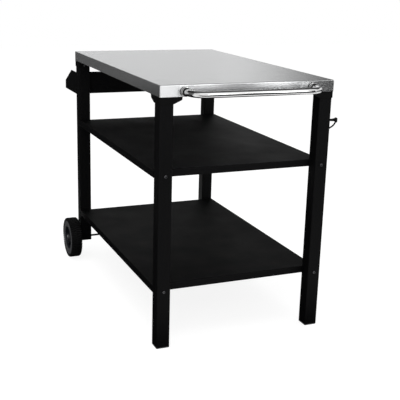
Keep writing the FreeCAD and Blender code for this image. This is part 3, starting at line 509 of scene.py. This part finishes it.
# %% Rims and hub caps
# Outlines: (radius, distance from the middle of the wheel, outward side negative), and the roundings.
RIM = [(4.06, -8.5), (14, -8.5), (14, -3.5), (45.35, -3.5), (46.9, -19), (48.85, -19), (48.85, 19), (45.35, 19),
       (45.35, 0.5), (14, 0.5), (14, 21.5), (4.06, 21.5)]
RIM_REACHES = (0.3, 0.3, 1.5, 2, 0.8, 0.5, 0.5, 0.5, 1.5, 1.5, 0.5, 0.3)
CAP = [(0, -20.9), (8, -20.7), (12.6, -20.2), (15.65, -16.5), (15.65, -4.5), (14.15, -4.5), (14.15, -15), (11.6, -19),
       (0, -19)]
CAP_REACHES = (0, 2, 2.2, 1.5, 0.3, 0.3, 1, 1, 0)
SPOKES = 6
# A spoke at the hub and at the barrel: distance from the axle, front face, and half width at the front.
SPOKE_ENDS = (16.3, 45.9)
SPOKE_FRONTS = (-8.5, -15.3)
SPOKE_HALVES = (3.4, 2.8)
SPOKE_BACK = -2.5


def spoke(turn, centre, side):
    """A rounded rectangle carried out from the hub to the barrel. Its back stays inside the web, and its
    front slopes outward, from 5 mm to 12 mm in front of the web. turn is its angle about the axle."""
    out = np.array([SPOKE_ENDS[0], 24, 32, 40, SPOKE_ENDS[1]])
    front = np.interp(out, SPOKE_ENDS, SPOKE_FRONTS)
    half_width = np.interp(out, SPOKE_ENDS, SPOKE_HALVES)
    sections = []
    for front_at, half in zip(front, half_width):
        sections.append(rounded([(-half - 0.4, SPOKE_BACK), (half + 0.4, SPOKE_BACK), (half, front_at),
                                 (-half, front_at)], (0, 0, 1.6, 1.6), 4))
    sections = np.array(sections)
    points = np.empty((*sections.shape[:2], 3))
    sideways, depth = sections[..., 0], side * sections[..., 1]
    points[..., 0] = out[:, None] * math.cos(turn) - sideways * math.sin(turn)
    points[..., 1] = depth
    points[..., 2] = out[:, None] * math.sin(turn) + sideways * math.cos(turn)
    return points * MM + centre


def rim(name, side):
    """A lathe for the barrel, web and hub, six spokes, and a lathe for the cap."""
    centre = middle(f"{name}_tyre") * MM
    spokes = [spoke(2 * math.pi * number / SPOKES, centre, side) for number in range(SPOKES)]
    piece(f"{name}_rim", closed=spokes, rings=[turned(rounded(RIM, RIM_REACHES), centre, "Y", side)])
    piece(f"{name}_hub_cap", closed=[turned(rounded(CAP, CAP_REACHES), centre, "Y", side, 64)])


for name, side in (("left", 1), ("right", -1)):
    rim(name, side)

# %% [markdown]
# ## The tool hook
#
# The hook is a plate with two screws, a flat arm with an upturned tip, and a bent wire under the arm that
# takes the load back to the plate. All of it is welded and then coated, so the edges are soft.

# %% Tool hook
PLATE = [(-11, -21.5), (11, -21.5), (11, 21.5), (-11, 21.5)]
PLATE_FRONT = [(-10.7, -21.2), (10.7, -21.2), (10.7, 21.2), (-10.7, 21.2)]
PLATE_ROUNDING = 3
# The arm: distances from the leg, and the heights of its upper and lower side from the hook's top.
ARM_ALONG = np.array([1.5, 12, 24, 30, 33.5, 36, 37.6, 38])
ARM_UPPER = np.array([-4, -4, -3.6, -2.6, -0.4, 0, -0.6, -2.4])
ARM_LOWER = np.array([-10, -10.4, -11.4, -12.8, -15, -16, -15.6, -13])
ARM_HALF = 5
ARM_ROUNDING = 1.6
WIRE_RADIUS = 2.6
WIRE_BOW = 4.5


def tool_hook():
    """The plate and the arm are lofts of rounded rectangles, and the brace is a wire from the foot of the
    plate to the tip of the arm. The wire bows out by WIRE_BOW times the sine of pi times its share of the
    way to the power 1.5, so most of it near the tip."""
    low, high = (np.array(corner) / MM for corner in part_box("tool_hook"))
    x = (low[0] + high[0]) / 2
    foot, top = low[2], high[2]
    back, reach = low[1], high[1]
    flat, front = (rounded(corners, PLATE_ROUNDING) for corners in (PLATE, PLATE_FRONT))
    plate = lofted([(x, back + d, (foot + top) / 2) for d in (0, 1.6, 2)], np.array([flat, flat, front]), (1, 0, 0))
    height, half = (ARM_UPPER + ARM_LOWER) / 2, (ARM_UPPER - ARM_LOWER) / 2
    sections = np.array([rounded([(-ARM_HALF, -h), (ARM_HALF, -h), (ARM_HALF, h), (-ARM_HALF, h)],
                                 ARM_ROUNDING, 4) for h in half])
    arm = np.stack([np.full(len(height), x), back + ARM_ALONG, top + height], axis=1)
    points = arm[:, None] + np.stack([sections[..., 0], 0 * sections[..., 0], sections[..., 1]], axis=-1)
    share = np.linspace(0, 1, 13)
    bow = WIRE_BOW * np.sin(math.pi * share ** 1.5)
    wire = np.stack([np.full(13, x), back + 1 + (reach - back - 4) * share + 0.6 * bow,
                     foot + 3 + (top - foot - 16) * share - 0.8 * bow], axis=1)
    turn = np.linspace(0, 2 * math.pi, 16, endpoint=False)
    circle = WIRE_RADIUS * np.stack([np.cos(turn), np.sin(turn)], axis=1)
    piece("tool_hook", closed=[plate, points * MM, lofted(wire, circle, (1, 0, 0))])


tool_hook()

# %% [markdown]
# ## Screws
#
# The visible fasteners are button-head screws with a hexagon socket. They are forged cold from wire, with
# the socket punched in, and then blackened. Each is one lathe outline, from the bottom of the socket, over
# the head, down the shank to the chamfered point. The rows of the socket are hexagons, and all the others
# are circles.

# %% Screws
# Head radius, head height and shank radius, in millimetres.
BOLT = (5.5, 3.3, 3)
SCREW = (4.5, 2.6, 2.4)
SOCKET_SHARE = 0.42
SOCKET_FLOOR = 0.35
# Along X from one screw of a bracket to the other, and along Y from the leg's middle to the screw at the end.
EAR_STEP_X = 48.8
EAR_STEP_Y = 36


def button_screw(place, axis, side, sizes, length):
    """place is the middle of the seat under the head, in millimetres. The head points along side times
    the axis, and the shank points the other way. The dome's radius is 0.35 + 0.65 cos(t) of the head's. Its
    height is 0.2 + 0.8 sin(t), as a share of what that is at the socket. t falls from 68 degrees to 0."""
    head_radius, head_height, shank_radius = sizes
    socket = head_radius * SOCKET_SHARE
    floor = head_height * SOCKET_FLOOR
    t = np.radians([68, 54, 40, 27, 14, 0])
    dome = np.stack([head_radius * (0.35 + 0.65 * np.cos(t)), head_height * (0.2 + 0.8 * np.sin(t)) /
                     (0.2 + 0.8 * math.sin(t[0])), 0 * t], axis=1)
    outline = [(0, floor, 1), (socket, floor, 1), (socket, head_height - 0.12, 1), (socket * 1.06, head_height, 1),
               *dome.tolist(), (head_radius, 0.15, 0), (head_radius - 0.15, 0, 0), (shank_radius, 0, 0),
               (shank_radius, 0.6 - length, 0), (shank_radius - 0.5, -length, 0), (0, -length, 0)]
    return turned(outline, np.array(place) * MM, axis, side, 48)


def screws():
    """Every group of screws, at the places that its own CAD node has. A node's box ends at the heads of its
    outer screws, so those stand one head's radius or height inside it."""
    low, high = (np.array(corner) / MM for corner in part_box("shelf_bolts"))
    legs = [(x, y) for x in (-1, 1) for y in (-1, 1)]
    outer = LEG_SIZE / 2
    heights = (low[2] + BOLT[0], high[2] - BOLT[0])
    piece("shelf_bolts", closed=[button_screw((SHIFT + x * (leg_x + outer), y * leg_y, z), "X", x, BOLT, length=53.2)
                                 for x, y in legs for z in heights])
    low, high = (np.array(corner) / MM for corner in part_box("leg_screws"))
    piece("leg_screws", closed=[button_screw((SHIFT + x * (leg_x - outer), y * leg_y, low[2] + SCREW[0]), "X", -x,
                                             SCREW, length=7.2) for x, y in legs])
    low, high = (np.array(corner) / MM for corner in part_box("tray_screws"))
    piece("tray_screws", closed=[button_screw((low[0] + SCREW[1], y * leg_y, z), "X", -1, SCREW, length=8.7)
                                 for y in (-1, 1) for z in (low[2] + SCREW[0], high[2] - SCREW[0])])
    low, high = (np.array(corner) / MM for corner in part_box("hook_screws"))
    piece("hook_screws", closed=[button_screw(((low[0] + high[0]) / 2, high[1] - SCREW[1], z), "Y", 1, SCREW,
                                              length=9.5) for z in (low[2] + SCREW[0], high[2] - SCREW[0])])
    low, high = (np.array(corner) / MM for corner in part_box("bracket_screws"))
    end_x, corner_y = high[0] - SHIFT - BOLT[0], high[1] - BOLT[0]
    near_corner = [(SHIFT + x * (end_x - EAR_STEP_X), y * corner_y) for x, y in legs]
    near_end = [(SHIFT + x * end_x, y * (leg_y - EAR_STEP_Y)) for x, y in legs]
    piece("bracket_screws", closed=[button_screw((x, y, low[2] + BOLT[1]), "Z", -1, BOLT, length=11.2)
                                    for x, y in near_corner + near_end])


screws()

# %% [markdown]
# ## Floor, background and light
#
# The photograph has a plain white background and very soft light, and what shapes the table is what its
# surfaces mirror: white in most places, with dark bands where the studio was dark. So the world and the
# floor are white to the camera and in reflections, and lamps from above and in front give the soft light.
# Cards that only reflections see, most of them dark, stand where the reflections need them.

# %% Studio
WHITE_LIGHT = 0.55
FLOOR_GLOW = 0.86


def seen_or_mirrored(tree):
    """1 for camera, glossy and transmission rays and 0 for the diffuse ones."""
    path = add_node(tree, "ShaderNodeLightPath")
    mirrored = add_node(tree, "ShaderNodeMath", {0: (path, "Is Glossy Ray"), 1: (path, "Is Transmission Ray")},
                        operation="ADD")
    return add_node(tree, "ShaderNodeMath", {0: (path, "Is Camera Ray"), 1: (mirrored, "Value")}, operation="ADD",
                    use_clamp=True)


def area_lamp(name, place, target, width, height, power):
    """A rectangular soft lamp at one point, facing another. It lights, and nothing mirrors it."""
    data = bpy.data.lights.new(name, "AREA")
    data.shape = "RECTANGLE"
    data.size = width
    data.size_y = height
    data.energy = power
    lamp = bpy.data.objects.new(name, data)
    scene.collection.objects.link(lamp)
    lamp.location = place
    lamp.rotation_euler = (Vector(target) - Vector(place)).to_track_quat("-Z", "Y").to_euler()
    lamp.visible_glossy = False
    return lamp


def flat_sheet(name, corners, material):
    """A four-cornered sheet that belongs to the studio."""
    mesh = bpy.data.meshes.new(name)
    mesh.from_pydata(corners, [], [(0, 1, 2, 3)])
    mesh.materials.append(material)
    made = bpy.data.objects.new(name, mesh)
    scene.collection.objects.link(made)
    return made


def white_world():
    """Strength = plain light + (1 - plain light) where the camera or a reflection looks."""
    world = bpy.data.worlds.new("white_studio")
    scene.world = world
    world.use_nodes = True
    tree = world.node_tree
    seen = seen_or_mirrored(tree)
    strength = add_node(tree, "ShaderNodeMapRange", {"Value": (seen, "Value"), "To Min": WHITE_LIGHT, "To Max": 1.0})
    background = tree.nodes["Background"]
    background.inputs["Color"].default_value = colour("#FFFFFF")
    tree.links.new(strength.outputs["Result"], background.inputs["Strength"])


def studio_floor():
    """A pale floor that keeps the table's shadow. Where the camera or a reflection looks, its own glow
    is added, so that it is as white as the background."""
    material, tree, shader = new_material("pale_studio_floor", Roughness=0.95, Specular_IOR_Level=0.0)
    shader.inputs["Base Color"].default_value = colour("#8F8F8F")
    shader.inputs["Emission Color"].default_value = colour("#FFFFFF")
    seen = seen_or_mirrored(tree)
    glow = add_node(tree, "ShaderNodeMapRange", {"Value": (seen, "Value"), "To Min": 0.0, "To Max": FLOOR_GLOW})
    tree.links.new(glow.outputs["Result"], shader.inputs["Emission Strength"])
    flat_sheet("floor", [(-9, -9, 0), (9, -9, 0), (9, 9, 0), (-9, 9, 0)], material)


def flag_card(name, corners, tones, strength=1.0):
    """A card that only reflections see. tones is a list of (place, grey), where place goes from 0 at the
    card's first side to 1 at the opposite one, and grey is a web colour."""
    material, tree, shader = new_material(f"{name}_card", Specular_IOR_Level=0.0)
    shader.inputs["Base Color"].default_value = colour("#000000")
    shader.inputs["Emission Strength"].default_value = strength
    if len(tones) > 1:
        share = add_node(tree, "ShaderNodeAttribute", attribute_name="share")
        ramp = add_node(tree, "ShaderNodeValToRGB", {"Fac": (share, "Fac")})
        for place, grey in tones[1:-1]:
            ramp.color_ramp.elements.new(place)
        for element, (place, grey) in zip(ramp.color_ramp.elements, tones):
            element.position = place
            element.color = colour(grey)
        tree.links.new(ramp.outputs["Color"], shader.inputs["Emission Color"])
    else:
        shader.inputs["Emission Color"].default_value = colour(tones[0][1])
    card = flat_sheet(name, corners, material)
    card.data.attributes.new("share", "FLOAT", "POINT").data.foreach_set("value", [0.0, 0.0, 1.0, 1.0])
    card.visible_camera = False
    card.visible_diffuse = False
    card.visible_transmission = False
    card.visible_shadow = False
    return card


white_world()
studio_floor()
area_lamp("overhead_softbox", (0.3, -0.3, 3.2), (0, 0, 0.6), width=3.0, height=3.0, power=60)
area_lamp("front_softbox", (3.5, -2.0, 2.2), (0, 0, 0.5), width=2.0, height=2.0, power=40)

# The cards stand about the table, whose middle is at X. FRONT is where the wall in front is.
X = TABLE_SHIFT
FRONT = 2 + X
CARD_LIFT = 0.004
# What the steel edge at the handle end mirrors: bright and dark uprights beside the camera.
flag_card("uprights", [(FRONT, 0.1, 0.35), (FRONT, 0.1, 1.75), (FRONT, 1.5, 1.75), (FRONT, 1.5, 0.35)],
          [(0.0, "#8B8B8B"), (0.2, "#8F8F8F"), (0.23, "#D0D0D0"), (0.262, "#DBDBDB"), (0.331, "#BDBDBD"),
           (0.4, "#6E6E6E"), (0.435, "#5D5D5D"), (0.47, "#747474"), (0.54, "#E0E0E0"), (0.573, "#FFFFFF"),
           (0.608, "#FFFFFF"), (0.642, "#C6C6C6"), (0.677, "#696969"), (0.71, "#444444"), (0.746, "#2F2F2F"),
           (0.815, "#131313"), (1.0, "#131313")], strength=5.6)
# A dark gap before the foot of the uprights: the dark line along the handle, and darker patches of the edge.
flag_card("low_gap", [(1.98 + X, 0.37, 0.35), (1.98 + X, 0.37, 0.8), (1.98 + X, 1.14, 0.8), (1.98 + X, 1.14, 0.35)],
          [(0.5, "#161616")])
# A softbox over the camera: the bright lines along the handle and along the edge's upper bend.
flag_card("bright_line", [(FRONT, -1.5, 1.75), (FRONT, -1.5, 3), (FRONT, 2.5, 3), (FRONT, 2.5, 1.75)],
          [(0.5, "#FFFFFF")], strength=1.6)
# A dark step and floor in front: the dark lines under the handle's bright one, and the edge's lower part.
flag_card("front_step", [(FRONT, -1.5, 0), (FRONT, -1.5, 0.35), (FRONT, 2.5, 0.35), (FRONT, 2.5, 0)],
          [(0.5, "#202020")])
flag_card("front_floor", [(1.2 + X, -1.5, CARD_LIFT), (FRONT, -1.5, CARD_LIFT), (FRONT, 2.5, CARD_LIFT),
                          (1.2 + X, 2.5, CARD_LIFT)], [(0.5, "#202020")])
# A dark floor under the table: the legs near the floor, the wheels, and the handle's lowest line.
flag_card("near_floor", [(-0.7 + X, -0.6, CARD_LIFT), (0.62 + X, -0.6, CARD_LIFT), (0.62 + X, 0.6, CARD_LIFT),
                         (-0.7 + X, 0.6, CARD_LIFT)], [(0.5, "#282828")])
# What the long side mirrors: dark walls beside the table and beyond the wheels, and the floor before them.
flag_card("side_wall", [(1, -3.4, 0), (-5, -3.4, 0), (-5, -3.4, 3.5), (1, -3.4, 3.5)], [(0.5, "#686868")])
flag_card("far_wall", [(-5, -3.4, 0), (-5, -3.4, 3.5), (-5, -0.9, 3.5), (-5, -0.9, 0)], [(0.5, "#606060")])
flag_card("side_floor", [(0.5, -0.45, CARD_LIFT), (-5, -0.45, CARD_LIFT), (-5, -3.4, CARD_LIFT),
                         (0.5, -3.4, CARD_LIFT)], [(0.0, "#101010"), (0.3, "#303030"), (1.0, "#505050")])
# What the shelves mirror: a low dark card behind the table.
flag_card("behind", [(-2.2 + X, -0.6, 0.0), (-2.2 + X, -0.6, 0.93), (-2.2 + X, 2.6, 0.93), (-2.2 + X, 2.6, 0.0)],
          [(0.5, "#202020")])
# A low dark wall on the right: the dark ends of the handle's right bend and of the steel edge. It stays lower
# than what the worktop mirrors.
flag_card("right_wall", [(-1.5 + X, 2.6, 0), (-1.5 + X, 2.6, 0.95), (FRONT, 2.6, 0.95), (FRONT, 2.6, 0)],
          [(0.5, "#1C1C1C")])
# What the worktop mirrors beside the white background: a dark ceiling at the back, and a dark edge on the right.
flag_card("ceiling", [(1.7 + X, -3, 3), (1.7 + X, 4, 3), (-3.5 + X, 4, 3), (-3.5 + X, -3, 3)],
          [(0.0, "#C8C8C8"), (0.12, "#A0A0A0"), (0.24, "#707070"), (0.33, "#303030"), (1.0, "#303030")])
flag_card("right_edge", [(-3 + X, 1.7, 0.95), (-3 + X, 1.7, 3), (-3 + X, 5, 3), (-3 + X, 5, 0.95)],
          [(0.0, "#FFFFFF"), (0.08, "#ECECEC"), (0.26, "#6C6C6C"), (1.0, "#6C6C6C")])
print("Studio ready")

# %% [markdown]
# ## View transform
#
# The plain view transform keeps every colour as it was written.

# %% Finish
scene.view_settings.view_transform = "Standard"
